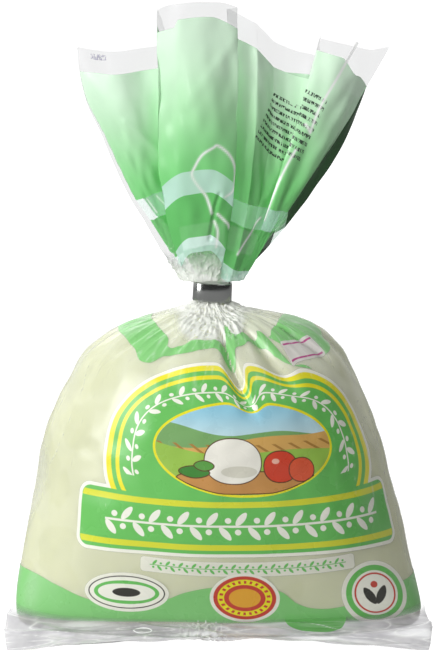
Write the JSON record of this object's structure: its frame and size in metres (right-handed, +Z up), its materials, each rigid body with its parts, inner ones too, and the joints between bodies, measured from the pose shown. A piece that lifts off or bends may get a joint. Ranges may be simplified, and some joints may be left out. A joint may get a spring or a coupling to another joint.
{
  "type": "bagged mozzarella",
  "caption": "Mozzarella ball in cloudy brine, in a clear printed film bag with a welded bottom seal and a pleated fan of film above a metal clip.",
  "frame": {"origin": "on the ground, at the middle of the flat base that the filled bag stands on", "axes": "+Z up along the bag towards its fan; the printed front faces -Y; +X is to the right of the print"},
  "size_m": [0.146, 0.0725, 0.2163],
  "materials": {
    "film": "glossy clear film, printed in green, over cloudy brine",
    "aluminium": "bright rolled strip"
  },
  "bodies": {
    "root": {"bag": "film", "clip": "aluminium"}
  },
  "joints": []
}
